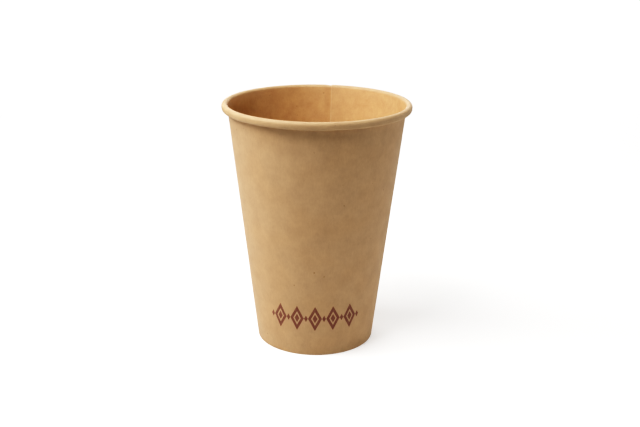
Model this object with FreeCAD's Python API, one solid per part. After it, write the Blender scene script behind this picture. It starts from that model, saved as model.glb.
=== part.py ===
import FreeCAD, Part
import math
import os
from collections import namedtuple

# Single-wall paper cup for hot drinks, made of two pieces of coated board.
# The wall is one fan-shaped blank, wound into a cone. Its ends lap and are sealed in a side
# seam, its top is rolled outwards into the rim, and its bottom is folded in and up as a hem.
# The base is a disc with a skirt turned down all round, which is sealed into that hem.
# The frame has +Z up the cup's axis and its origin on the table, at the middle of the foot.
# The side seam is at the back, on the +Y side. All sizes are in millimetres.

# Overall size
RIM_DIAMETER = 90.0  # outside of the rolled rim
FOOT_DIAMETER = 57.2  # outside of the wall, at the table
CUP_HEIGHT = 118.0  # table to the top of the rolled rim

# Boards
WALL_BOARD = 0.35
BASE_BOARD = 0.30
SEAL_FILM = 0.02  # melted lining left between two sealed boards
BEND_TOLERANCE = 0.06  # how far the flats of a roll or a fold may lie from its true arc

# Rolled rim
RIM_ROLL_WIDTH = 3.0
RIM_ROLL_SIDE = 0.8  # straight stretch on the outside, between the roll's upper and lower curves
ROLL_GAP = 0.1  # between the wall and the end of the board inside the roll

# Side seam
SEAM_AZIMUTH = 80.0  # the cut edge that shows inside the cup, in degrees from +X towards +Y
SEAM_LAP = 7.0  # width of the lap, measured at the mouth
SEAM_JOG = 2.8  # width over which the board steps onto the other end, at the mouth
JOG_STEPS = 2  # straight facets in a jog, round the cup

# Folded foot
HEM_TO_BASE = 2.0  # free edge of the hem to the underside of the base
FOLD_RADIUS = 0.05  # inside the fold

# Base
BASE_RECESS = 9.0  # table to the underside of the base
BASE_CORNER_RADIUS = 0.35  # inside the turned-down corner
SKIRT_CLEARANCE = 0.15  # skirt's end to the fold below it

AXIS_FOOT = FreeCAD.Vector(0, 0, 0)
UP = FreeCAD.Vector(0, 0, 1)

Run = namedtuple("Run", "length")
Bend = namedtuple("Bend", "radius angle flats")  # positive angles turn left


def toward(heading):
    """Unit vector in the XZ plane, at heading degrees from +X towards +Z."""
    return FreeCAD.Vector(math.cos(math.radians(heading)), 0, math.sin(math.radians(heading)))


def flats_for(radius, angle):
    """How many equal flats stand for an arc within the tolerance."""
    widest = 2 * math.degrees(math.acos(1 - BEND_TOLERANCE / radius))
    return math.ceil(angle / widest)


def bent_board(start, heading, moves, thickness):
    """Section of a board whose middle starts at a point and follows runs and bends.

    A bend is drawn as equal flats between points on its arc."""
    middle = [(start, heading)]
    for move in moves:
        place, heading = middle[-1]
        if isinstance(move, Run):
            middle.append((place + toward(heading) * move.length, heading))
            continue
        to_centre = math.copysign(move.radius, move.angle)
        centre = place + toward(heading + 90) * to_centre
        for flat in range(1, move.flats + 1):
            turned = heading + move.angle * flat / move.flats
            middle.append((centre - toward(turned + 90) * to_centre, turned))
    left_face = [place + toward(heading + 90) * (thickness / 2) for place, heading in middle]
    right_face = [place - toward(heading + 90) * (thickness / 2) for place, heading in middle]
    outline = left_face + right_face[::-1] + left_face[:1]
    return Part.Face(Part.makePolygon(outline))


# The wall's lean follows from the rim, the foot and the roll, whose inner side the wall runs into
roll_radius = (RIM_ROLL_WIDTH - WALL_BOARD) / 2
roll_centre = FreeCAD.Vector(
    (RIM_DIAMETER - RIM_ROLL_WIDTH) / 2, 0, CUP_HEIGHT - RIM_ROLL_WIDTH / 2
)
foot_edge = FreeCAD.Vector(FOOT_DIAMETER / 2, 0, 0)
foot_to_roll = roll_centre - foot_edge
wall_lean = math.degrees(
    math.atan2(foot_to_roll.x, foot_to_roll.z)
    - math.asin((roll_radius - WALL_BOARD / 2) / foot_to_roll.Length)
)
up_wall = toward(90 - wall_lean)
out_of_wall = toward(-wall_lean)
lean_sine, lean_cosine = up_wall.x, up_wall.z

skirt_pocket = BASE_BOARD + 2 * SEAL_FILM
hem_height = BASE_RECESS - HEM_TO_BASE
mouth_radius = (RIM_DIAMETER - 2 * RIM_ROLL_WIDTH) / 2

# Every section of the wall has as many flats as its widest bends need, in the seam's outer layer
roll_flats = flats_for(roll_radius, 180)
fold_flats = flats_for(FOLD_RADIUS + 1.5 * WALL_BOARD, 90 + wall_lean)


def wall_at_height(outset, height):
    """Point at a height on the line that lies outset from the wall's outer face."""
    along = (height + outset * lean_sine) / lean_cosine
    return foot_edge + out_of_wall * outset + up_wall * along


def wall_section(over=0.0, under=0.0):
    """Section of the wall's board. In the seam, over is 1 for the outer layer and under for the inner.

    The outer layer lies one board further out, folds round the inner layer at the foot and
    nests inside its roll at the rim. Shares between 0 and 1 are the steps of a jog."""
    outset = (over - 0.5) * WALL_BOARD
    fold_radius = FOLD_RADIUS + WALL_BOARD / 2 + over * WALL_BOARD
    fold_height = fold_radius + WALL_BOARD / 2 + (under * WALL_BOARD)
    hem_outset = outset - WALL_BOARD * (1 + 2 * over) - skirt_pocket
    outer_fold = wall_at_height(outset - fold_radius, fold_height)
    inner_fold = wall_at_height(hem_outset + fold_radius, fold_height)
    wall_start = outer_fold + out_of_wall * fold_radius
    hem_start = inner_fold - out_of_wall * fold_radius
    hem_end = wall_at_height(hem_outset, hem_height)

    upper_radius = roll_radius - over * WALL_BOARD
    seam_offset = (over + under) * WALL_BOARD / 2
    lower_radius = upper_radius - (ROLL_GAP + WALL_BOARD) / 2 - seam_offset
    roll_side = RIM_ROLL_SIDE + seam_offset * (1 - lean_sine) / lean_cosine
    moves = [
        Run((hem_end - hem_start).Length),
        Bend(fold_radius, 90 + wall_lean, fold_flats),
        Run(outer_fold.x - inner_fold.x),
        Bend(fold_radius, 90 - wall_lean, fold_flats),
        Run((roll_centre - wall_start).dot(up_wall)),
        Bend(upper_radius, -180, roll_flats),
        Run(roll_side),
        Bend(lower_radius, -180, roll_flats),
    ]
    return bent_board(hem_end, -90 - wall_lean, moves, WALL_BOARD)


def swept(section, azimuth, angle):
    """Solid of a section turned about the cup's axis, through angle degrees from azimuth."""
    return section.rotated(AXIS_FOOT, UP, azimuth).revolve(AXIS_FOOT, UP, angle)


def jog(azimuth, angle, **layer):
    """Stretch of wall that passes into a layer of the seam, from azimuth through angle degrees."""
    outlines = []
    for step in range(JOG_STEPS + 1):
        share = step / JOG_STEPS
        section = wall_section(**{name: full * share for name, full in layer.items()})
        outlines.append(section.rotated(AXIS_FOOT, UP, azimuth + angle * share).OuterWire)
    return Part.makeLoft(outlines, True, True)


def side_wall():
    lap = math.degrees(SEAM_LAP / mouth_radius)
    step = math.degrees(SEAM_JOG / mouth_radius)
    lap_end = SEAM_AZIMUTH - lap
    single = swept(wall_section(), SEAM_AZIMUTH + step, 360 - lap - 2 * step)
    outer_layer = swept(wall_section(over=1), lap_end, lap)
    inner_layer = swept(wall_section(under=1), lap_end, lap)
    onto_outer = jog(SEAM_AZIMUTH + step, -step, over=1)
    onto_inner = jog(lap_end - step, step, under=1)
    return single.fuse([onto_outer, outer_layer, inner_layer, onto_inner]).removeSplitter()


def base():
    """Disc with a turned-down skirt that fills the pocket between the wall and its hem."""
    corner = BASE_CORNER_RADIUS + BASE_BOARD / 2
    disc_height = BASE_RECESS + BASE_BOARD / 2
    skirt_outset = -WALL_BOARD - skirt_pocket / 2
    corner_centre = wall_at_height(skirt_outset - corner, disc_height - corner)
    skirt_start = corner_centre + out_of_wall * corner
    skirt_end = wall_at_height(skirt_outset, 2 * WALL_BOARD + SKIRT_CLEARANCE)
    moves = [
        Run(corner_centre.x),
        Bend(corner, -90 - wall_lean, flats_for(corner, 90 + wall_lean)),
        Run((skirt_start - skirt_end).Length),
    ]
    section = bent_board(FreeCAD.Vector(0, 0, disc_height), 0, moves, BASE_BOARD)
    return swept(section, 0, 360)


def main():
    os.makedirs("parts", exist_ok=True)
    side_wall().exportStep("parts/side_wall.step")
    base().exportStep("parts/base.step")


main()
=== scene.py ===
import math
from collections import namedtuple

import bpy
from mathutils import Matrix, Vector


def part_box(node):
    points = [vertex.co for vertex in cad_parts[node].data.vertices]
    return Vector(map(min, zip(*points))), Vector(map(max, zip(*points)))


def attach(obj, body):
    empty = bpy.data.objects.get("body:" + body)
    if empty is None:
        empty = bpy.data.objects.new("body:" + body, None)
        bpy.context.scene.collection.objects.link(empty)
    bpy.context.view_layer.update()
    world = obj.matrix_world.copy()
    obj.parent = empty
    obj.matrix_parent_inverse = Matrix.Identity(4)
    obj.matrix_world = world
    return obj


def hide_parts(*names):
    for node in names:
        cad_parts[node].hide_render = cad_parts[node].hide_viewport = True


# A single-wall paper cup for hot drinks, of brown unbleached board, on a pale studio floor.
# Lengths are in metres. +Z is up the cup's axis, the front is -Y and the side seam is at the back.

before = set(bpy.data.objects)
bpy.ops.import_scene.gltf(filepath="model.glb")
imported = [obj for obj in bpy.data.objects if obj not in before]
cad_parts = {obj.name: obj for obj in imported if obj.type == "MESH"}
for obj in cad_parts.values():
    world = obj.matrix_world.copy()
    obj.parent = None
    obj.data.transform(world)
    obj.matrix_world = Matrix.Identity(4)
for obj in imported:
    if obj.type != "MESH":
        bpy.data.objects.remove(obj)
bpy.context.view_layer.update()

MM = 0.001

# The cup as it is cut and formed
wall_low, wall_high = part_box("side_wall")
RIM_RADIUS = (wall_high.x - wall_low.x) / 2
CUP_HEIGHT = wall_high.z
FOOT_RADIUS = 28.6 * MM
WALL_BOARD = 0.35 * MM
BASE_BOARD = 0.30 * MM
SEAL_FILM = 0.02 * MM
ROLL_WIDTH = 3.0 * MM
ROLL_SIDE = 0.8 * MM
ROLL_GAP = 0.1 * MM
SEAM_AZIMUTH = math.radians(80)
SEAM_LAP = 7.0 * MM
SEAM_JOG = 4.2 * MM
FOLD_RADIUS = 0.05 * MM
BASE_RECESS = 9.0 * MM
HEM_TO_BASE = 2.0 * MM
BASE_CORNER = 0.35 * MM
SKIRT_CLEARANCE = 0.15 * MM
FRONT_AZIMUTH = math.radians(270)

# How finely the boards are divided
STEPS_ROUND = 480
HEM_STEPS = 8
FOLD_STEPS = 7
WALL_STEPS = 36
UPPER_ROLL_STEPS = 16
ROLL_SIDE_STEPS = 2
LOWER_ROLL_STEPS = 12
DISC_STEPS = 40
CORNER_STEPS = 8
SKIRT_STEPS = 8
CREASE_ANGLE = math.radians(50)  # edges sharper than this stay crisp
SAME_POINT = 0.001 * MM

# What forming leaves on the board
WALL_WAVE = 0.06 * MM  # how far the wall strays from a true cone
WALL_WAVE_LENGTH = 26 * MM
HEM_RIDGES = 80  # pressed by the knurled wheel that seals the foot
HEM_RIDGE_DEPTH = 0.09 * MM
HEM_RIDGE_STRAY = 1.0  # in radians of their wave
BASE_WAVE = 0.15 * MM
BASE_WAVE_LENGTH = 20 * MM
BASE_PUCKERS = 96  # gathers where the disc's edge is turned down
BASE_PUCKER_DEPTH = 0.10 * MM
BASE_PUCKER_STRAY = 9.0  # in radians of their wave
PUCKER_REACH = 5 * MM
RIDGE_STRAY_LENGTH = 9 * MM

# The board's pulp
CLOUD_SIZE = 7 * MM
FIBRE_SPACING = 0.6 * MM
FIBRE_STRETCH = (1, 1, 0.3)  # fibres lie up the cup, three times as long as they are thick
BARK_SIZE = 16 * MM
FIBRE_RELIEF = 0.06 * MM  # how far fibres stand out of bare board
CLOUD_RELIEF = 0.08 * MM
SPECK_SPACING = 4.5 * MM
SPECK_CHANCE = 0.4  # share of the places that hold a speck
SPECK_RADIUS = 0.1  # of the largest, as a share of their spacing
SPECK_COVER = 0.55
SPECK_WOBBLE = 0.9 * MM
SPECK_WOBBLE_SIZE = 1.5 * MM
TONE_SPREAD = 0.25  # lower is blotchier
OUTSIDE_LIGHT, OUTSIDE_DARK = "#B3936E", "#A48665"
INSIDE_LIGHT, INSIDE_DARK = "#C39E71", "#AD855D"
EDGE_LIGHT, EDGE_DARK = "#E2C49A", "#CBA678"
BARK_TINT = "#FFFDFA"
SPECK_BROWN = "#6B4524"

# The printed frieze, low on the front
INK_BROWN = "#704134"
FRIEZE_HEIGHT = 20.5 * MM  # middle of the frieze, up the wall from the foot
FRIEZE_PITCH = 8.6 * MM
FRIEZE_MOTIFS = 5
LOZENGE_HALF_WIDTH = 3.3 * MM
LOZENGE_HALF_HEIGHT = 6.6 * MM
LOZENGE_OPENING = 0.56  # of its size, inside the open lozenge's line
KERNEL_SHARE = 0.36
SMALL_LOZENGE_SHARE = 0.27
PRINT_STRAY = 0.12 * MM  # how far the ink's edges stray
EDGE_STRAY_SIZE = 0.5 * MM

# The lining, what rolling leaves on it, and its paler part and edge line at the side seam
LINING_RELIEF = 0.4 * MM  # of the board's clouds under it
ROLLED_TONE = "#9C8A6F"
ROLLED_COVER = 0.5
ROLLED_DULLING = 0.16  # added to the roughness
SEAM_EDGE_WIDTH = 0.3 * MM  # bare pulp and a painted highlight along the cut edge
SEAM_EDGE_PULP_AND_HIGHLIGHT = "#D9C2A4"
SEAM_EDGE_COVER = 0.3
SEAM_EDGE_STRAY = 0.15 * MM
SEAM_PALING = 14 * MM  # how far beyond the board's end the lining is paler
SEAM_PALE_TONE = "#C8A884"
SEAM_PALE_COVER = 0.15

# The photograph's frame, and where the cup stands in it
PHOTO_WIDTH, PHOTO_HEIGHT = 640, 427
FOCAL_PIXELS = 979
CUP_MIDDLE_PIXEL = (316.0, 220.2)
CAMERA_DISTANCE = 0.480
CAMERA_ELEVATION = math.radians(18.6)
CAMERA_ROLL = math.radians(0.5)

# The studio
PAPER_WHITE = "#DEDDDB"
PAPER_FADE_START, PAPER_FADE_END = 0.15, 0.8  # distance from the cup's middle
PAPER_CORNERS = 96
PAPER_TOOTH_SIZE = 2 * MM
PAPER_TOOTH_DEPTH = 0.05 * MM
PAPER_LIFT = 0.3  # brightness that the camera adds to the paper, so that shadows stay faint
ROOM_BRIGHTNESS = 1.0  # as the camera sees it
ROOM_FILL = 0.02  # what the cup gets of it

# The camera's response to light
RESPONSE_CONTRAST = 1.7  # in the shade
RESPONSE_SHOULDER = 0.5  # light level from which it flattens
RESPONSE_LEVELS = (0.02, 0.05, 0.1, 0.18, 0.3, 0.45, 0.6, 0.8)

Run = namedtuple("Run", "length steps")
Bend = namedtuple("Bend", "radius angle steps")


def linear(hex_colour):
    """The linear RGBA of an sRGB hex colour."""
    parts = [int(hex_colour[i:i + 2], 16) / 255 for i in (1, 3, 5)]
    return [c / 12.92 if c <= 0.04045 else ((c + 0.055) / 1.055) ** 2.4 for c in parts] + [1.0]


def add_node(tree, kind, inputs=(), output=0, **settings):
    """Adds a node and returns one of its outputs.

    inputs holds values, or outputs to link, in the order of the sockets or by socket name."""
    node = tree.nodes.new(kind)
    for name, value in settings.items():
        setattr(node, name, value)
    named = inputs if isinstance(inputs, dict) else dict(enumerate(inputs))
    for socket, value in named.items():
        if isinstance(value, bpy.types.NodeSocket):
            tree.links.new(value, node.inputs[socket])
        else:
            node.inputs[socket].default_value = value
    return node.outputs[output] if node.outputs else None


def texture_scale(size):
    """Scale of a texture whose features are this large, on coordinates in metres."""
    return 1 / size


# The board's line in section, as (radius, height)


def toward(heading):
    return Vector((math.cos(heading), math.sin(heading)))


def board_line(start, heading, moves):
    """Points down the middle of a board that follows runs and bends; left turns are positive."""
    points = [start.copy()]
    for move in moves:
        place = points[-1]
        if isinstance(move, Run):
            for step in range(1, move.steps + 1):
                points.append(place + toward(heading) * (move.length * step / move.steps))
            continue
        to_centre = math.copysign(move.radius, move.angle)
        centre = place + toward(heading + math.pi / 2) * to_centre
        for step in range(1, move.steps + 1):
            turned = heading + move.angle * step / move.steps
            points.append(centre - toward(turned + math.pi / 2) * to_centre)
        heading += move.angle
    return points


roll_radius = (ROLL_WIDTH - WALL_BOARD) / 2
roll_centre = Vector((RIM_RADIUS - ROLL_WIDTH / 2, CUP_HEIGHT - ROLL_WIDTH / 2))
foot_edge = Vector((FOOT_RADIUS, 0))
foot_to_roll = roll_centre - foot_edge
wall_lean = math.atan2(foot_to_roll.x, foot_to_roll.y) - math.asin(
    (roll_radius - WALL_BOARD / 2) / foot_to_roll.length
)
up_wall = toward(math.pi / 2 - wall_lean)
out_of_wall = toward(-wall_lean)
skirt_pocket = BASE_BOARD + 2 * SEAL_FILM
hem_height = BASE_RECESS - HEM_TO_BASE
mouth_radius = RIM_RADIUS - ROLL_WIDTH


def wall_at_height(outset, height):
    """Point at a height on the line that lies outset from the wall's outer face."""
    along = (height + outset * up_wall.x) / up_wall.y
    return foot_edge + out_of_wall * outset + up_wall * along


def wall_line(over=0, under=0):
    """The wall's board from the hem's free edge, round the fold, up the wall and round the rim.

    over is 1 in the seam's outer layer, which nests outside the inner one, where under is 1."""
    outset = (over - 0.5) * WALL_BOARD
    fold_radius = FOLD_RADIUS + WALL_BOARD / 2 + over * WALL_BOARD
    fold_height = fold_radius + WALL_BOARD / 2 + under * WALL_BOARD
    hem_outset = outset - WALL_BOARD * (1 + 2 * over) - skirt_pocket
    outer_fold = wall_at_height(outset - fold_radius, fold_height)
    inner_fold = wall_at_height(hem_outset + fold_radius, fold_height)
    wall_start = outer_fold + out_of_wall * fold_radius
    hem_start = inner_fold - out_of_wall * fold_radius
    hem_end = wall_at_height(hem_outset, hem_height)

    upper_radius = roll_radius - over * WALL_BOARD
    seam_offset = (over + under) * WALL_BOARD / 2
    lower_radius = upper_radius - (ROLL_GAP + WALL_BOARD) / 2 - seam_offset
    roll_side = ROLL_SIDE + seam_offset * (1 - up_wall.x) / up_wall.y
    return board_line(
        hem_end,
        -math.pi / 2 - wall_lean,
        [
            Run((hem_end - hem_start).length, HEM_STEPS),
            Bend(fold_radius, math.pi / 2 + wall_lean, FOLD_STEPS),
            Run(outer_fold.x - inner_fold.x, 1),
            Bend(fold_radius, math.pi / 2 - wall_lean, FOLD_STEPS),
            Run((roll_centre - wall_start).dot(up_wall), WALL_STEPS),
            Bend(upper_radius, -math.pi, UPPER_ROLL_STEPS),
            Run(roll_side, ROLL_SIDE_STEPS),
            Bend(lower_radius, -math.pi, LOWER_ROLL_STEPS),
        ],
    )


def base_line():
    """The base's board from the middle of the disc, over its corner and down the skirt."""
    corner = BASE_CORNER + BASE_BOARD / 2
    disc_height = BASE_RECESS + BASE_BOARD / 2
    skirt_outset = -WALL_BOARD - skirt_pocket / 2
    corner_centre = wall_at_height(skirt_outset - corner, disc_height - corner)
    skirt_start = corner_centre + out_of_wall * corner
    skirt_end = wall_at_height(skirt_outset, 2 * WALL_BOARD + SKIRT_CLEARANCE)
    return board_line(
        Vector((0, disc_height)),
        0,
        [
            Run(corner_centre.x, DISC_STEPS),
            Bend(corner, -math.pi / 2 - wall_lean, CORNER_STEPS),
            Run((skirt_start - skirt_end).length, SKIRT_STEPS),
        ],
    )


def smooth_step(value, start, end):
    share = min(max((value - start) / (end - start), 0), 1)
    return share * share * (3 - 2 * share)


# Which way a point of the board's line moves where the board is uneven or pressed, as (outwards,
# upwards), in shares of the full depth


def wall_waves(point):
    """The wall strays inwards and outwards, less near the roll and not where the base holds it."""
    held_by_base = 1 - smooth_step(point.y, hem_height, 4 * hem_height)
    held_by_roll = smooth_step(point.y, CUP_HEIGHT - 4 * ROLL_WIDTH, CUP_HEIGHT - ROLL_WIDTH)
    return (1 - held_by_base) * (1 - 0.7 * held_by_roll), 0


def hem_ridges(point):
    """The hem is pressed inwards, clear of the fold and of its free edge."""
    on_hem = wall_at_height(-1.5 * WALL_BOARD, point.y).x > point.x
    clear_of_edges = smooth_step(point.y, 0.1 * hem_height, 0.3 * hem_height) * (
        1 - smooth_step(point.y, 0.75 * hem_height, 0.95 * hem_height)
    )
    return (-clear_of_edges if on_hem else 0), 0


def base_waves(point):
    """The disc strays up and down, but not at its edge."""
    on_disc = 1 - smooth_step(point.x, FOOT_RADIUS - 2 * PUCKER_REACH, FOOT_RADIUS - WALL_BOARD)
    return 0, on_disc


def base_puckers(point):
    """The disc's edge is gathered where it turns down."""
    edge = FOOT_RADIUS - WALL_BOARD - BASE_CORNER
    return 0, -smooth_step(point.x, edge - PUCKER_REACH, edge) * (point.y > BASE_RECESS)


def line_mesh(name, lines, waves, ridges):
    """Loose points of the board's lines, one line after another, with how each point may move."""
    points = [point for line in lines for point in line]
    mesh = bpy.data.meshes.new(name)
    mesh.from_pydata([(p.x, 0, p.y) for p in points], [], [])
    for attribute, move in (("wave", waves), ("ridge", ridges)):
        moves = [part for out, up in map(move, points) for part in (out, 0, up)]
        mesh.attributes.new(attribute, "FLOAT_VECTOR", "POINT").data.foreach_set("vector", moves)
    distances = []
    for line in lines:
        steps = [0] + [(b - a).length for a, b in zip(line, line[1:])]
        distances += [sum(steps[:i + 1]) for i in range(len(line))]
    mesh.attributes.new("distance", "FLOAT", "POINT").data.foreach_set("value", distances)
    return mesh


def winding_tree():
    """Geometry Nodes that wind a board's line round the cup's axis.

    The mesh that they are given holds three lines: the single board, then the seam's outer layer,
    then its inner layer. The board starts as the outer layer and ends, a turn and a lap later, as
    the inner one, so that its two ends nest."""
    tree = bpy.data.node_groups.new("wind_board", "GeometryNodeTree")
    for name, kind in (
        ("Lines", "NodeSocketGeometry"),
        ("Line points", "NodeSocketInt"),
        ("Steps round", "NodeSocketInt"),
        ("Start", "NodeSocketFloat"),
        ("Lap", "NodeSocketFloat"),
        ("Jog", "NodeSocketFloat"),
        ("Front", "NodeSocketFloat"),
        ("Wave depth", "NodeSocketFloat"),
        ("Wave length", "NodeSocketFloat"),
        ("Ridges", "NodeSocketFloat"),
        ("Ridge depth", "NodeSocketFloat"),
        ("Ridge stray", "NodeSocketFloat"),
        ("Seed", "NodeSocketFloat"),
        ("Board", "NodeSocketMaterial"),
    ):
        tree.interface.new_socket(name, in_out="INPUT", socket_type=kind)
    tree.interface.new_socket("Wound board", in_out="OUTPUT", socket_type="NodeSocketGeometry")
    given = add_node(tree, "NodeGroupInput").node.outputs

    # A sheet with a row of points for each step round the cup
    rows = add_node(tree, "ShaderNodeMath", [given["Steps round"], 1], operation="ADD")
    sheet = add_node(
        tree,
        "GeometryNodeMeshGrid",
        {"Vertices X": rows, "Vertices Y": given["Line points"]},
    )
    index = add_node(tree, "GeometryNodeInputIndex")
    middle = add_node(tree, "ShaderNodeMath", [index, 0.5], operation="ADD")
    rows_passed = add_node(
        tree, "ShaderNodeMath", [middle, given["Line points"]], operation="DIVIDE"
    )
    row = add_node(tree, "ShaderNodeMath", [rows_passed], operation="FLOOR")
    row_start = add_node(
        tree, "ShaderNodeMath", [row, given["Line points"]], operation="MULTIPLY"
    )
    along = add_node(tree, "ShaderNodeMath", [index, row_start], operation="SUBTRACT")
    share_round = add_node(
        tree, "ShaderNodeMath", [row, given["Steps round"]], operation="DIVIDE"
    )
    whole_turn = add_node(tree, "ShaderNodeMath", [given["Lap"], math.tau], operation="ADD")
    turned = add_node(tree, "ShaderNodeMath", [share_round, whole_turn], operation="MULTIPLY")
    azimuth = add_node(tree, "ShaderNodeMath", [turned, given["Start"]], operation="ADD")

    # Shares of the seam's outer layer, at the board's start, and of its inner layer, at its end
    jog_end = add_node(tree, "ShaderNodeMath", [given["Lap"], given["Jog"]], operation="ADD")
    jog_start = add_node(tree, "ShaderNodeMath", [math.tau, given["Jog"]], operation="SUBTRACT")
    over = add_node(
        tree,
        "ShaderNodeMapRange",
        [turned, given["Lap"], jog_end, 1, 0],
        interpolation_type="SMOOTHSTEP",
    )
    under = add_node(
        tree,
        "ShaderNodeMapRange",
        [turned, jog_start, math.tau, 0, 1],
        interpolation_type="SMOOTHSTEP",
    )

    position = add_node(tree, "GeometryNodeInputPosition")
    layers = []
    for layer in range(3):
        line_start = add_node(
            tree, "ShaderNodeMath", [given["Line points"], layer], operation="MULTIPLY"
        )
        place = add_node(tree, "ShaderNodeMath", [along, line_start], operation="ADD")
        layers.append(
            add_node(
                tree,
                "GeometryNodeSampleIndex",
                {"Geometry": given["Lines"], "Value": position, "Index": place},
                data_type="FLOAT_VECTOR",
            )
        )
    section = layers[0]
    for share, layer in ((over, layers[1]), (under, layers[2])):
        section = add_node(
            tree, "ShaderNodeMix", {0: share, 4: section, 5: layer}, output=1, data_type="VECTOR"
        )
    wave, ridge = (
        add_node(
            tree,
            "GeometryNodeSampleIndex",
            {
                "Geometry": given["Lines"],
                "Value": add_node(
                    tree, "GeometryNodeInputNamedAttribute", [name], data_type="FLOAT_VECTOR"
                ),
                "Index": along,
            },
            data_type="FLOAT_VECTOR",
        )
        for name in ("wave", "ridge")
    )
    distance = add_node(
        tree,
        "GeometryNodeSampleIndex",
        {
            "Geometry": given["Lines"],
            "Value": add_node(
                tree, "GeometryNodeInputNamedAttribute", ["distance"], data_type="FLOAT"
            ),
            "Index": along,
        },
        data_type="FLOAT",
    )

    # Unevenness of the board, the same in layers that touch
    wound = add_node(
        tree,
        "ShaderNodeVectorRotate",
        {"Vector": section, "Angle": azimuth},
        rotation_type="Z_AXIS",
    )
    wave_scale = add_node(tree, "ShaderNodeMath", [1, given["Wave length"]], operation="DIVIDE")
    unevenness = add_node(
        tree,
        "ShaderNodeTexNoise",
        {"Vector": wound, "W": given["Seed"], "Scale": wave_scale, "Detail": 2, "Roughness": 0.4},
        noise_dimensions="4D",
    )
    wave_depth = add_node(
        tree,
        "ShaderNodeMapRange",
        {
            "Value": unevenness,
            "From Min": 0.25,
            "From Max": 0.75,
            "To Min": add_node(
                tree, "ShaderNodeMath", [given["Wave depth"], -1], operation="MULTIPLY"
            ),
            "To Max": given["Wave depth"],
        },
    )
    waved = add_node(
        tree, "ShaderNodeVectorMath", {"Vector": wave, "Scale": wave_depth}, operation="SCALE"
    )

    # Ridges or gathers, which stray from even spacing and differ in depth
    stray_noise = add_node(
        tree,
        "ShaderNodeTexNoise",
        {
            "Vector": wound,
            "W": given["Seed"],
            "Scale": texture_scale(RIDGE_STRAY_LENGTH),
            "Detail": 1,
        },
        noise_dimensions="4D",
    )
    stray = add_node(
        tree, "ShaderNodeMath", [stray_noise, given["Ridge stray"]], operation="MULTIPLY"
    )
    ridge_turn = add_node(
        tree, "ShaderNodeMath", [azimuth, given["Ridges"], stray], operation="MULTIPLY_ADD"
    )
    ridge_wave = add_node(tree, "ShaderNodeMath", [ridge_turn], operation="SINE")
    ridge_depth = add_node(
        tree,
        "ShaderNodeMapRange",
        {"Value": ridge_wave, "From Min": -0.4, "To Min": 0, "To Max": given["Ridge depth"]},
        interpolation_type="SMOOTHSTEP",
    )
    uneven_depth = add_node(
        tree, "ShaderNodeMath", [ridge_depth, unevenness], operation="MULTIPLY"
    )
    ridged = add_node(
        tree, "ShaderNodeVectorMath", {"Vector": ridge, "Scale": uneven_depth}, operation="SCALE"
    )
    moved = add_node(tree, "ShaderNodeVectorMath", [section, waved], operation="ADD")
    moved = add_node(tree, "ShaderNodeVectorMath", [moved, ridged], operation="ADD")
    formed = add_node(
        tree,
        "ShaderNodeVectorRotate",
        {"Vector": moved, "Angle": azimuth},
        rotation_type="Z_AXIS",
    )
    board = add_node(tree, "GeometryNodeSetPosition", {"Geometry": sheet, "Position": formed})

    # Place on the flat blank: distance round from the front, distance along the line, and distance
    # to the end that shows inside the cup. A board without a lap has no such end, so it is put a
    # metre further away
    radius = add_node(tree, "ShaderNodeSeparateXYZ", [section])
    from_front = add_node(
        tree, "ShaderNodeMath", [azimuth, given["Front"]], operation="SUBTRACT"
    )
    round_distance = add_node(
        tree, "ShaderNodeMath", [from_front, radius], operation="MULTIPLY"
    )
    no_lap = add_node(tree, "ShaderNodeMath", [given["Lap"], 0, 0.0001], operation="COMPARE")
    left_to_turn = add_node(tree, "ShaderNodeMath", [whole_turn, turned], operation="SUBTRACT")
    end_distance = add_node(
        tree, "ShaderNodeMath", [left_to_turn, radius, no_lap], operation="MULTIPLY_ADD"
    )
    blank_place = add_node(
        tree, "ShaderNodeCombineXYZ", [round_distance, distance, end_distance]
    )
    board = add_node(
        tree,
        "GeometryNodeStoreNamedAttribute",
        {"Geometry": board, "Name": "blank", "Value": blank_place},
        data_type="FLOAT_VECTOR",
        domain="POINT",
    )
    board = add_node(
        tree, "GeometryNodeMergeByDistance", {"Geometry": board, "Distance": SAME_POINT}
    )
    board = add_node(tree, "GeometryNodeRealizeInstances", [board])
    board = add_node(
        tree, "GeometryNodeSetMaterial", {"Geometry": board, "Material": given["Board"]}
    )
    add_node(tree, "NodeGroupOutput", [board])
    return tree


def wind_board(name, mesh, tree, sizes, thickness, finishes):
    """A piece wound from the board's lines, with its thickness, as a plain mesh.

    finishes are the materials of the outside, of the lined side and of the cut edges."""
    piece = bpy.data.objects.new(name, mesh)
    bpy.context.scene.collection.objects.link(piece)
    for finish in [None] + finishes:  # the sheet's own first slot is empty
        mesh.materials.append(finish)
    winding = piece.modifiers.new("wind", "NODES")
    winding.node_group = tree
    for socket in tree.interface.items_tree:
        if socket.name in sizes:
            winding[socket.identifier] = sizes[socket.name]
    board = piece.modifiers.new("board", "SOLIDIFY")
    board.thickness = thickness
    board.offset = 0
    board.use_even_offset = True
    board.material_offset = 1
    board.material_offset_rim = 2

    evaluated = piece.evaluated_get(bpy.context.evaluated_depsgraph_get())
    solid = bpy.data.meshes.new_from_object(evaluated)
    piece.modifiers.clear()
    piece.data = solid
    solid.name = name
    slots = [face.material_index - 1 for face in solid.polygons]
    solid.materials.clear()
    for finish in finishes:
        solid.materials.append(finish)
    solid.polygons.foreach_set("material_index", slots)
    solid.polygons.foreach_set("use_smooth", [True] * len(solid.polygons))
    solid.set_sharp_from_angle(angle=CREASE_ANGLE)
    bpy.data.meshes.remove(mesh)
    return piece


# Materials


def new_material(name):
    material = bpy.data.materials.new(name)
    material.use_nodes = True
    material.node_tree.nodes.clear()
    return material, material.node_tree


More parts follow.
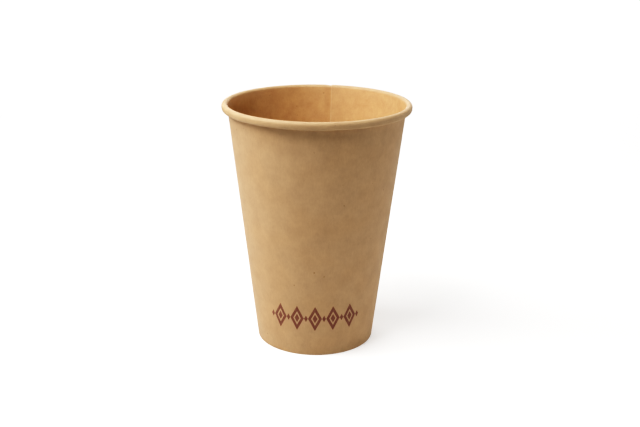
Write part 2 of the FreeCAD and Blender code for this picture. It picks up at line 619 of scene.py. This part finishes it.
def board_fibres(tree, light, dark, fibre_share):
    """Colour, clouds and fibres of unbleached board: uneven pulp, long fibres and a few specks.

    fibre_share is how much of the fibres shows beside the clouds. The clouds are 7 mm across and
    the fibres 2 mm long. Real fibres are 0.04 mm thick, too fine to show, so they are drawn as
    bundles 0.3 mm thick."""
    place = add_node(tree, "ShaderNodeTexCoord", output="Object")
    clouds = add_node(
        tree,
        "ShaderNodeTexNoise",
        {"Vector": place, "Scale": texture_scale(CLOUD_SIZE), "Detail": 5, "Roughness": 0.72},
    )
    stretched = add_node(tree, "ShaderNodeMapping", {"Vector": place, "Scale": FIBRE_STRETCH})
    fibres = add_node(
        tree,
        "ShaderNodeTexNoise",
        {
            "Vector": stretched,
            "Scale": texture_scale(FIBRE_SPACING),
            "Detail": 3,
            "Roughness": 0.6,
            "Distortion": 0.6,
        },
    )
    tone = add_node(
        tree, "ShaderNodeMath", [fibres, fibre_share, clouds], operation="MULTIPLY_ADD"
    )
    mean_tone = 0.5 + 0.5 * fibre_share
    share = add_node(
        tree,
        "ShaderNodeMapRange",
        {
            "Value": tone,
            "From Min": mean_tone - TONE_SPREAD,
            "From Max": mean_tone + TONE_SPREAD,
        },
    )
    pulp = add_node(
        tree,
        "ShaderNodeMix",
        {0: share, 6: linear(light), 7: linear(dark)},
        output=2,
        data_type="RGBA",
    )
    bark = add_node(
        tree,
        "ShaderNodeTexNoise",
        {"Vector": place, "Scale": texture_scale(BARK_SIZE), "Detail": 1},
    )
    bark_share = add_node(
        tree, "ShaderNodeMapRange", {"Value": bark, "From Min": 0.4, "From Max": 0.62}
    )
    pulp = add_node(
        tree,
        "ShaderNodeMix",
        {0: bark_share, 6: pulp, 7: linear(BARK_TINT)},
        output=2,
        data_type="RGBA",
        blend_type="MULTIPLY",
    )
    wobble = add_node(
        tree,
        "ShaderNodeTexNoise",
        {"Vector": place, "Scale": texture_scale(SPECK_WOBBLE_SIZE), "Detail": 1},
        output=1,
    )
    shaken = add_node(
        tree,
        "ShaderNodeVectorMath",
        {0: wobble, 1: (SPECK_WOBBLE,) * 3, 2: place},
        operation="MULTIPLY_ADD",
    )
    from_speck = add_node(
        tree, "ShaderNodeTexVoronoi", {"Vector": shaken, "Scale": texture_scale(SPECK_SPACING)}
    )
    speck_colour = from_speck.node.outputs["Color"]
    chance = add_node(tree, "ShaderNodeSeparateColor", [speck_colour])
    speck_radius = add_node(
        tree,
        "ShaderNodeMapRange",
        {"Value": chance, "From Min": 1 - SPECK_CHANCE, "To Max": SPECK_RADIUS},
    )
    specks = add_node(tree, "ShaderNodeMath", [from_speck, speck_radius], operation="LESS_THAN")
    speck_share = add_node(tree, "ShaderNodeMath", [specks, SPECK_COVER], operation="MULTIPLY")
    colour = add_node(
        tree,
        "ShaderNodeMix",
        {0: speck_share, 6: pulp, 7: linear(SPECK_BROWN)},
        output=2,
        data_type="RGBA",
    )
    return colour, clouds, fibres


def blank_coordinates(tree, edge_stray):
    """Place on the flat blank: round from the front, along the board, and to the board's end.

    edge_stray is how far the edge of what is drawn there strays."""
    blank = add_node(tree, "ShaderNodeAttribute", output="Vector", attribute_name="blank")
    stray = add_node(
        tree,
        "ShaderNodeTexNoise",
        {"Vector": blank, "Scale": texture_scale(EDGE_STRAY_SIZE), "Detail": 2},
        output=1,
    )
    shaken = add_node(
        tree,
        "ShaderNodeVectorMath",
        {0: stray, 1: (edge_stray,) * 3, 2: blank},
        operation="MULTIPLY_ADD",
    )
    return add_node(tree, "ShaderNodeSeparateXYZ", [shaken]).node.outputs


def frieze_ink(tree):
    """Share of ink in a row of open lozenges with small ones between, printed low on the front."""
    across, up, _ = blank_coordinates(tree, PRINT_STRAY)
    above = add_node(
        tree, "ShaderNodeMath", [up, hem_height + FRIEZE_HEIGHT], operation="SUBTRACT"
    )
    from_middle = add_node(tree, "ShaderNodeMath", [above], operation="ABSOLUTE")
    tallness = add_node(
        tree, "ShaderNodeMath", [from_middle, LOZENGE_HALF_HEIGHT], operation="DIVIDE"
    )
    reaches = []
    for shift in (FRIEZE_PITCH / 2, FRIEZE_PITCH):
        moved = add_node(tree, "ShaderNodeMath", [across, shift], operation="ADD")
        wrapped = add_node(tree, "ShaderNodeMath", [moved, FRIEZE_PITCH, 0], operation="WRAP")
        offset = add_node(
            tree, "ShaderNodeMath", [wrapped, FRIEZE_PITCH / 2], operation="SUBTRACT"
        )
        sideways = add_node(tree, "ShaderNodeMath", [offset], operation="ABSOLUTE")
        width = add_node(
            tree, "ShaderNodeMath", [sideways, LOZENGE_HALF_WIDTH], operation="DIVIDE"
        )
        reaches.append(add_node(tree, "ShaderNodeMath", [width, tallness], operation="ADD"))
    line = add_node(
        tree,
        "ShaderNodeMath",
        [reaches[0], (1 + LOZENGE_OPENING) / 2, (1 - LOZENGE_OPENING) / 2],
        operation="COMPARE",
    )
    kernel = add_node(tree, "ShaderNodeMath", [reaches[0], KERNEL_SHARE], operation="LESS_THAN")
    small = add_node(
        tree, "ShaderNodeMath", [reaches[1], SMALL_LOZENGE_SHARE], operation="LESS_THAN"
    )
    ink = add_node(tree, "ShaderNodeMath", [line, kernel], operation="MAXIMUM")
    ink = add_node(tree, "ShaderNodeMath", [ink, small], operation="MAXIMUM")
    sideways = add_node(tree, "ShaderNodeMath", [across], operation="ABSOLUTE")
    frieze_end = FRIEZE_PITCH * FRIEZE_MOTIFS / 2 + LOZENGE_HALF_WIDTH * SMALL_LOZENGE_SHARE
    within = add_node(tree, "ShaderNodeMath", [sideways, frieze_end], operation="LESS_THAN")
    return add_node(tree, "ShaderNodeMath", [ink, within], operation="MULTIPLY")


def uncoated_brown_board(name, printed):
    """Unbleached sulphate board as it leaves the calender: matt, with a dry, slightly felted tooth.

    Loose fibre ends give it a faint sheen at its edges. Water-based ink sinks in, so the print is
    as matt as the board and lets its fibres show."""
    material, tree = new_material(name)
    colour, clouds, fibres = board_fibres(tree, OUTSIDE_LIGHT, OUTSIDE_DARK, fibre_share=0.6)
    if printed:
        cover = add_node(
            tree,
            "ShaderNodeMapRange",
            {"Value": fibres, "From Min": 0.3, "From Max": 0.55, "To Min": 0.84, "To Max": 0.98},
        )
        ink_share = add_node(
            tree, "ShaderNodeMath", [frieze_ink(tree), cover], operation="MULTIPLY"
        )
        colour = add_node(
            tree,
            "ShaderNodeMix",
            {0: ink_share, 6: colour, 7: linear(INK_BROWN)},
            output=2,
            data_type="RGBA",
        )
    relief = add_node(
        tree,
        "ShaderNodeBump",
        {"Height": fibres, "Strength": 0.35, "Distance": FIBRE_RELIEF},
    )
    relief = add_node(
        tree,
        "ShaderNodeBump",
        {"Height": clouds, "Strength": 0.5, "Distance": CLOUD_RELIEF, "Normal": relief},
    )
    roughness = add_node(
        tree,
        "ShaderNodeMapRange",
        {"Value": clouds, "From Min": 0.3, "From Max": 0.7, "To Min": 0.72, "To Max": 0.82},
    )
    shader = add_node(
        tree,
        "ShaderNodeBsdfPrincipled",
        {
            "Base Color": colour,
            "Roughness": roughness,
            "Normal": relief,
            "IOR": 1.47,
            "Sheen Weight": 0.06,
            "Sheen Roughness": 0.4,
        },
    )
    add_node(tree, "ShaderNodeOutputMaterial", {"Surface": shader})
    return material


def lined_brown_board():
    """The same board under a thin extruded lining: warmer in colour, with a soft sheen.

    The lining hides part of the fibres. Rolling has strained it at the rim, which is greyer and
    duller. Over the lap beyond the board's end at the side seam the lining is paler, and along
    the cut edge a thin pale line stands for bare pulp with a painted highlight on the raised edge."""
    material, tree = new_material("lined brown board")
    colour, clouds, fibres = board_fibres(tree, INSIDE_LIGHT, INSIDE_DARK, fibre_share=0.25)
    _, along, to_end = blank_coordinates(tree, SEAM_EDGE_STRAY)
    roll_start = hem_height + (roll_centre - foot_edge).length
    rolled = add_node(
        tree,
        "ShaderNodeMapRange",
        {
            "Value": along,
            "From Min": roll_start,
            "From Max": roll_start + ROLL_WIDTH / 2,
            "To Max": ROLLED_COVER,
        },
        interpolation_type="SMOOTHSTEP",
    )
    colour = add_node(
        tree,
        "ShaderNodeMix",
        {0: rolled, 6: colour, 7: linear(ROLLED_TONE)},
        output=2,
        data_type="RGBA",
    )
    # Paler lining over the lap beyond the board's end
    paled = add_node(
        tree,
        "ShaderNodeMapRange",
        {"Value": to_end, "From Max": SEAM_PALING, "To Min": SEAM_PALE_COVER, "To Max": 0},
        interpolation_type="SMOOTHSTEP",
    )
    colour = add_node(
        tree,
        "ShaderNodeMix",
        {0: paled, 6: colour, 7: linear(SEAM_PALE_TONE)},
        output=2,
        data_type="RGBA",
    )
    # A thin pale line along the cut edge: bare pulp with a painted highlight on the raised edge
    edge = add_node(
        tree, "ShaderNodeMath", [to_end, SEAM_EDGE_WIDTH], operation="LESS_THAN"
    )
    edge_pulp_and_highlight = add_node(tree, "ShaderNodeMath", [edge, SEAM_EDGE_COVER], operation="MULTIPLY")
    colour = add_node(
        tree,
        "ShaderNodeMix",
        {0: edge_pulp_and_highlight, 6: colour, 7: linear(SEAM_EDGE_PULP_AND_HIGHLIGHT)},
        output=2,
        data_type="RGBA",
    )
    relief = add_node(
        tree,
        "ShaderNodeBump",
        {"Height": clouds, "Strength": 0.8, "Distance": LINING_RELIEF},
    )
    roughness = add_node(
        tree,
        "ShaderNodeMapRange",
        {"Value": fibres, "From Min": 0.3, "From Max": 0.7, "To Min": 0.48, "To Max": 0.6},
    )
    roughness = add_node(
        tree, "ShaderNodeMath", [rolled, ROLLED_DULLING, roughness], operation="MULTIPLY_ADD"
    )
    shader = add_node(
        tree,
        "ShaderNodeBsdfPrincipled",
        {
            "Base Color": colour,
            "Roughness": roughness,
            "Normal": relief,
            "IOR": 1.5,
            "Specular IOR Level": 0.3,
        },
    )
    add_node(tree, "ShaderNodeOutputMaterial", {"Surface": shader})
    return material


def raw_board_edge():
    """Die-cut edge of the board: paler than its faces and rough, because the pulp is open."""
    material, tree = new_material("raw board edge")
    colour, _, fibres = board_fibres(tree, EDGE_LIGHT, EDGE_DARK, fibre_share=0.6)
    relief = add_node(
        tree,
        "ShaderNodeBump",
        {"Height": fibres, "Strength": 0.6, "Distance": FIBRE_RELIEF},
    )
    shader = add_node(
        tree,
        "ShaderNodeBsdfPrincipled",
        {"Base Color": colour, "Roughness": 0.9, "Normal": relief, "IOR": 1.47},
    )
    add_node(tree, "ShaderNodeOutputMaterial", {"Surface": shader})
    return material


def studio_paper():
    """White, matt background paper, which fades into the white room before its edge.

    For the camera alone it is lifted towards white, as the ground of a product picture is."""
    material, tree = new_material("studio paper")
    place = add_node(tree, "ShaderNodeTexCoord", output="Object")
    tooth = add_node(
        tree, "ShaderNodeTexNoise", {"Vector": place, "Scale": texture_scale(PAPER_TOOTH_SIZE)}
    )
    relief = add_node(
        tree,
        "ShaderNodeBump",
        {"Height": tooth, "Strength": 0.1, "Distance": PAPER_TOOTH_DEPTH},
    )
    seen = add_node(tree, "ShaderNodeLightPath")
    lift = add_node(tree, "ShaderNodeMath", [seen, PAPER_LIFT], operation="MULTIPLY")
    paper = add_node(
        tree,
        "ShaderNodeBsdfPrincipled",
        {
            "Base Color": linear(PAPER_WHITE),
            "Roughness": 0.85,
            "Normal": relief,
            "Emission Color": linear("#FFFFFF"),
            "Emission Strength": lift,
        },
    )
    from_cup = add_node(tree, "ShaderNodeVectorMath", [place], output=1, operation="LENGTH")
    faded = add_node(
        tree,
        "ShaderNodeMapRange",
        {"Value": from_cup, "From Min": PAPER_FADE_START, "From Max": PAPER_FADE_END},
        interpolation_type="SMOOTHSTEP",
    )
    nothing = add_node(tree, "ShaderNodeBsdfTransparent")
    surface = add_node(tree, "ShaderNodeMixShader", [faded, paper, nothing])
    add_node(tree, "ShaderNodeOutputMaterial", {"Surface": surface})
    return material


# Pieces


def side_wall(tree, finishes):
    """The wall's blank, wound a turn and a lap, with its rolled rim, seam and hem."""
    lines = [wall_line(), wall_line(over=1), wall_line(under=1)]
    lap = SEAM_LAP / mouth_radius
    sizes = {
        "Line points": len(lines[0]),
        "Steps round": STEPS_ROUND,
        "Start": SEAM_AZIMUTH - lap,
        "Lap": lap,
        "Jog": SEAM_JOG / mouth_radius,
        "Front": FRONT_AZIMUTH,
        "Wave depth": WALL_WAVE,
        "Wave length": WALL_WAVE_LENGTH,
        "Ridges": float(HEM_RIDGES),
        "Ridge depth": 2 * HEM_RIDGE_DEPTH,  # the unevenness halves it on average
        "Ridge stray": HEM_RIDGE_STRAY,
        "Seed": 3.0,
        "Board": finishes[0],
    }
    mesh = line_mesh("wall lines", lines, wall_waves, hem_ridges)
    piece = wind_board("formed_wall", mesh, tree, sizes, WALL_BOARD, finishes)
    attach(piece, "root")
    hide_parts("side_wall")


def base(tree, finishes):
    """The base's disc with its skirt turned down, a little dished and gathered at its corner."""
    line = base_line()
    sizes = {
        "Line points": len(line),
        "Steps round": STEPS_ROUND,
        "Start": 0.0,
        "Lap": 0.0,
        "Jog": SEAM_JOG / mouth_radius,  # without effect, because its three lines are the same
        "Front": FRONT_AZIMUTH,
        "Wave depth": BASE_WAVE,
        "Wave length": BASE_WAVE_LENGTH,
        "Ridges": float(BASE_PUCKERS),
        "Ridge depth": 2 * BASE_PUCKER_DEPTH,
        "Ridge stray": BASE_PUCKER_STRAY,
        "Seed": 8.0,
        "Board": finishes[0],
    }
    mesh = line_mesh("base lines", [line, line, line], base_waves, base_puckers)
    piece = wind_board("formed_base", mesh, tree, sizes, BASE_BOARD, finishes)
    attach(piece, "root")
    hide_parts("base")


# Studio


def floor():
    """A round, level floor of white paper."""
    points = []
    for corner in range(PAPER_CORNERS):
        place = toward(math.tau * corner / PAPER_CORNERS) * PAPER_FADE_END
        points.append((place.x, place.y, 0))
    mesh = bpy.data.meshes.new("floor")
    mesh.from_pydata(points, [], [list(range(PAPER_CORNERS))])
    mesh.materials.append(studio_paper())
    piece = bpy.data.objects.new("floor", mesh)
    bpy.context.scene.collection.objects.link(piece)


def soft_box(name, azimuth, elevation, distance, width, height, power):
    """A rectangular light that faces the cup. Azimuth 0 is the camera's side, 90 the cup's right.

    Angles are in degrees, lengths in metres and the power in watts. The camera doesn't see it."""
    light = bpy.data.lights.new(name, "AREA")
    light.shape = "RECTANGLE"
    light.size, light.size_y = width, height
    light.energy = power
    lamp = bpy.data.objects.new(name, light)
    turn, rise = math.radians(azimuth), math.radians(elevation)
    away = Vector((
        math.sin(turn) * math.cos(rise),
        -math.cos(turn) * math.cos(rise),
        math.sin(rise),
    ))
    lamp.location = Vector((0, 0, CUP_HEIGHT / 2)) + away * distance
    lamp.rotation_mode = "QUATERNION"
    lamp.rotation_quaternion = away.to_track_quat("Z", "Y")
    lamp.visible_camera = False
    bpy.context.scene.collection.objects.link(lamp)


def studio_lights():
    """Soft boxes on the left, above and behind, and low panels behind and on the right."""
    soft_box("key, left", -90, 38, 0.5, 0.28, 0.28, 1.7)
    soft_box("key, left front", -50, 58, 0.6, 0.32, 0.32, 2.7)
    soft_box("top, front", 0, 70, 0.6, 0.36, 0.28, 1.2)
    soft_box("back", 180, 40, 0.9, 0.9, 0.4, 3.5)
    soft_box("low panel, back", 180, 12, 1.3, 1.6, 0.4, 4)
    soft_box("low panel, right", 80, 3, 1.1, 0.9, 0.2, 2.3)
    soft_box("low panel, right back", 115, 3, 1.1, 0.9, 0.2, 2.2)


def surroundings():
    """A white room, which shows past the floor's edge and hardly lights the cup."""
    world = bpy.data.worlds.new("studio")
    world.use_nodes = True
    tree = world.node_tree
    tree.nodes.clear()
    seen = add_node(tree, "ShaderNodeLightPath")
    strength = add_node(
        tree, "ShaderNodeMath", [seen, ROOM_BRIGHTNESS, ROOM_FILL], operation="MULTIPLY_ADD"
    )
    white = add_node(
        tree, "ShaderNodeBackground", {"Color": linear("#FFFFFF"), "Strength": strength}
    )
    add_node(tree, "ShaderNodeOutputWorld", {"Surface": white})
    bpy.context.scene.world = world


def response(light):
    """What the camera makes of a light level: deep shade, and a soft shoulder in the highlights."""
    raised = light ** RESPONSE_CONTRAST
    shoulder = RESPONSE_SHOULDER ** RESPONSE_CONTRAST
    return raised * (1 + shoulder) / (raised + shoulder)


def camera_response():
    view = bpy.context.scene.view_settings
    view.view_transform = "Standard"
    view.use_curve_mapping = True
    curve = view.curve_mapping.curves[3]
    for light in RESPONSE_LEVELS:
        curve.points.new(light, response(light))
    view.curve_mapping.update()


def camera():
    """The photograph's camera: in front, a little above, and turned by a fraction of a degree."""
    lens = bpy.data.cameras.new("camera")
    lens.sensor_width = 36
    lens.lens = FOCAL_PIXELS / PHOTO_WIDTH * lens.sensor_width
    lens.clip_start, lens.clip_end = 0.01, 20
    eye = bpy.data.objects.new("camera", lens)
    bpy.context.scene.collection.objects.link(eye)
    bpy.context.scene.camera = eye
    cup_middle = Vector((0, 0, CUP_HEIGHT / 2))
    away = Vector((0, -math.cos(CAMERA_ELEVATION), math.sin(CAMERA_ELEVATION)))
    facing = away.to_track_quat("Z", "Y")
    seen_at = Vector((
        (CUP_MIDDLE_PIXEL[0] - PHOTO_WIDTH / 2) / FOCAL_PIXELS,
        (PHOTO_HEIGHT / 2 - CUP_MIDDLE_PIXEL[1]) / FOCAL_PIXELS,
        -1,
    ))
    aside = seen_at.rotation_difference(Vector((0, 0, -1)))
    roll = Matrix.Rotation(CAMERA_ROLL, 3, "Z").to_quaternion()
    eye.location = cup_middle + away * CAMERA_DISTANCE
    eye.rotation_mode = "QUATERNION"
    eye.rotation_quaternion = facing @ roll @ aside


def main():
    lined, cut = lined_brown_board(), raw_board_edge()
    tree = winding_tree()
    side_wall(tree, [uncoated_brown_board("printed brown board", printed=True), lined, cut])
    base(tree, [uncoated_brown_board("uncoated brown board", printed=False), lined, cut])
    floor()
    studio_lights()
    surroundings()
    camera()
    camera_response()


main()
